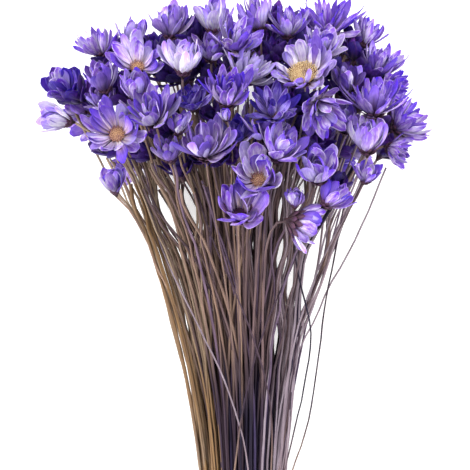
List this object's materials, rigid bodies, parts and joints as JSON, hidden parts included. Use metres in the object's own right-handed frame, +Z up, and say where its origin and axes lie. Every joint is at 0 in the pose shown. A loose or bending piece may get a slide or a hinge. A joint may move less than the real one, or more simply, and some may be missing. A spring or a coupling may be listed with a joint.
{
  "type": "bunch of dried daisies",
  "caption": "Bunch of dried violet daisies with papery cupped petals on thin bare stems, bound with twine, lying on a surface.",
  "frame": {"origin": "on the surface that the bunch lies on, under the middle of its box", "axes": "+Y from the cut ends towards the crown of blooms, +X to its right seen from above, +Z up"},
  "size_m": [0.191, 0.3466, 0.123],
  "materials": {
    "petals_violet": "dry, papery and matt, veined lengthwise, mid violet with pale bases",
    "petals_bright": "dry, papery and matt, veined lengthwise, bright violet with cream bases",
    "petals_deep": "dry, papery and matt, veined lengthwise, deep blue violet",
    "petals_dusky": "dry, papery and matt, veined lengthwise, greyed mauve",
    "petals_pale": "dry, papery and matt, veined lengthwise, pale lilac",
    "discs": "dry tan florets, rough and matt",
    "stems": "dry, matt, straw brown to dark mauve",
    "tie": "twisted plant fibre twine, rough and matt"
  },
  "bodies": {
    "root": {"bloom_01": "petals_deep", "bloom_02": "petals_pale", "bloom_03": "petals_violet", "bloom_04": "petals_pale", "bloom_05": "petals_violet", "bloom_05_disc": "discs", "bloom_06": "petals_dusky", "bloom_07": "petals_violet", "bloom_07_disc": "discs", "bloom_08": "petals_pale", "bloom_09": "petals_violet", "bloom_10": "petals_violet", "bloom_11": "petals_violet", "bloom_12": "petals_pale", "bloom_13": "petals_pale", "bloom_14": "petals_violet", "bloom_15": "petals_pale", "bloom_16": "petals_violet", "bloom_17": "petals_bright", "bloom_18": "petals_violet", "bloom_19": "petals_violet", "bloom_20": "petals_violet", "bloom_20_disc": "discs", "bloom_21": "petals_violet", "bloom_22": "petals_bright", "bloom_23": "petals_pale", "bloom_24": "petals_dusky", "bloom_25": "petals_violet", "bloom_25_disc": "discs", "bloom_26": "petals_dusky", "bloom_27": "petals_violet", "bloom_28": "petals_violet", "bloom_29": "petals_violet", "bloom_30": "petals_violet", "bloom_31": "petals_bright", "bloom_32": "petals_violet", "bloom_34": "petals_violet", "bloom_35": "petals_deep", "bloom_36": "petals_deep", "bloom_37": "petals_violet", "bloom_38": "petals_pale", "bloom_39": "petals_pale", "bloom_40": "petals_violet", "bloom_41": "petals_bright", "bloom_42": "petals_dusky", "bloom_44": "petals_dusky", "bloom_45": "petals_deep", "bloom_46": "petals_dusky", "bloom_48": "petals_dusky", "bloom_49": "petals_dusky", "bloom_trio_1": "petals_violet", "bloom_trio_2": "petals_violet", "bloom_trio_3": "petals_violet", "bloom_trio_4": "petals_violet", "bloom_trio_5": "petals_violet", "bloom_trio_6": "petals_violet", "bloom_trio_7": "petals_violet", "bloom_trio_8": "petals_violet", "stems": "stems", "tie": "tie"}
  },
  "joints": []
}
